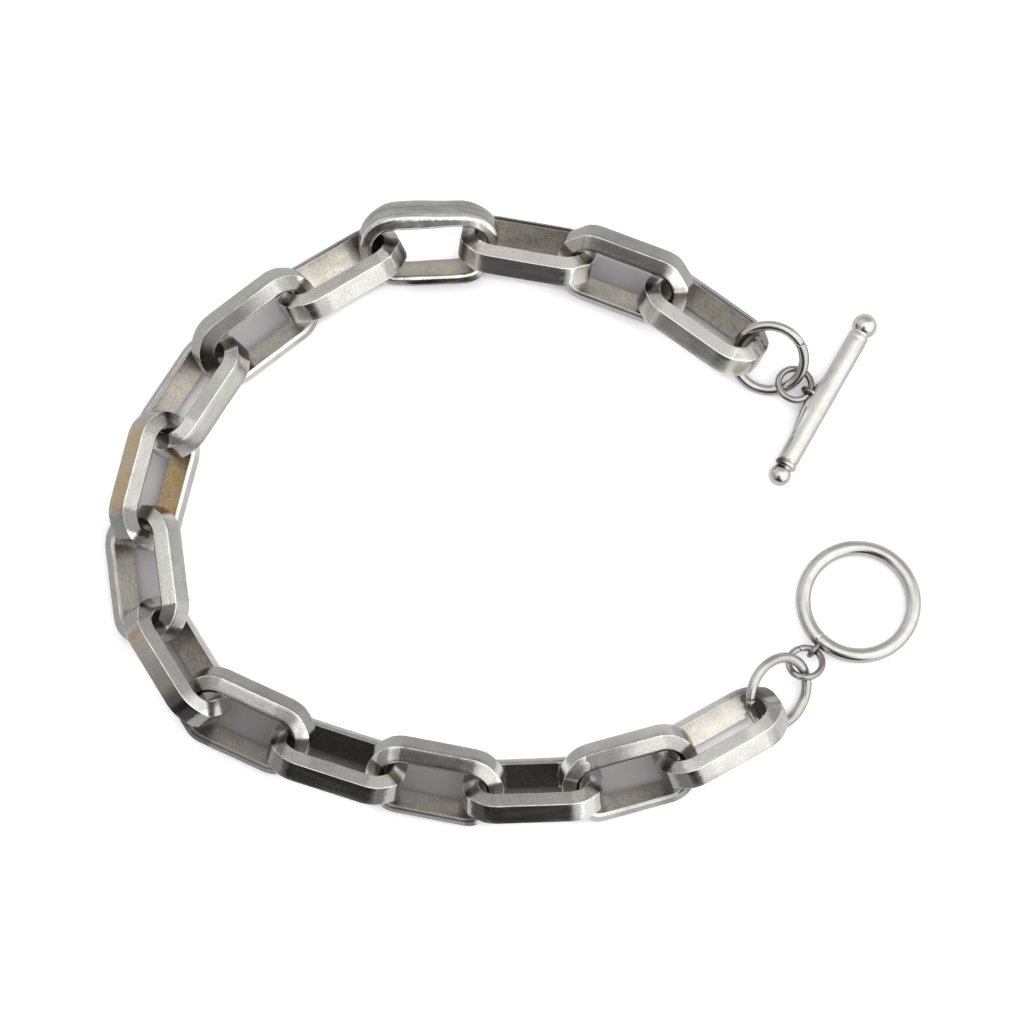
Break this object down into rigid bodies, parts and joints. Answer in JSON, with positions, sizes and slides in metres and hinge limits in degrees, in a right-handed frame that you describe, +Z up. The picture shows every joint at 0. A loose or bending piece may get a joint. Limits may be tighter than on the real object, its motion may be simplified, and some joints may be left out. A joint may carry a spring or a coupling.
{
  "type": "toggle bracelet",
  "caption": "Toggle bracelet lying open: heavy bevelled steel chain links that lean alternately to each side, ending in wire rings with a toggle ring and a ball-ended toggle bar.",
  "frame": {"origin": "middle of the footprint of the open bracelet, on the surface that it lies on", "axes": "+X toward the open side with the clasp parts, +Y toward the toggle bar, +Z up from the surface"},
  "size_m": [0.0902, 0.07, 0.0087],
  "materials": {
    "bevelled_links": "stainless steel, ground and brushed along the strip, bright arrises, worn satin inner faces",
    "polished_link": "stainless steel, mirror polished with soft hand-worked waves",
    "wire_rings": "stainless steel wire, mirror polished, with a fine butt seam",
    "toggle_ring": "stainless steel wire, mirror polished, soldered eye a little darker",
    "toggle_bar": "stainless steel, mirror polished, soldered eye a little darker"
  },
  "bodies": {
    "root": {"toggle_bar": "toggle_bar", "bar_small_ring": "wire_rings", "bar_jump_ring": "wire_rings", "link_01": "bevelled_links", "link_02": "bevelled_links", "link_03": "bevelled_links", "link_04": "polished_link", "link_05": "bevelled_links", "link_06": "bevelled_links", "link_07": "bevelled_links", "link_08": "bevelled_links", "link_09": "bevelled_links", "link_10": "bevelled_links", "link_11": "bevelled_links", "link_12": "bevelled_links", "link_13": "bevelled_links", "link_14": "bevelled_links", "link_15": "bevelled_links", "link_16": "bevelled_links", "clasp_jump_ring": "wire_rings", "clasp_small_ring": "wire_rings", "toggle_ring": "toggle_ring"}
  },
  "joints": []
}
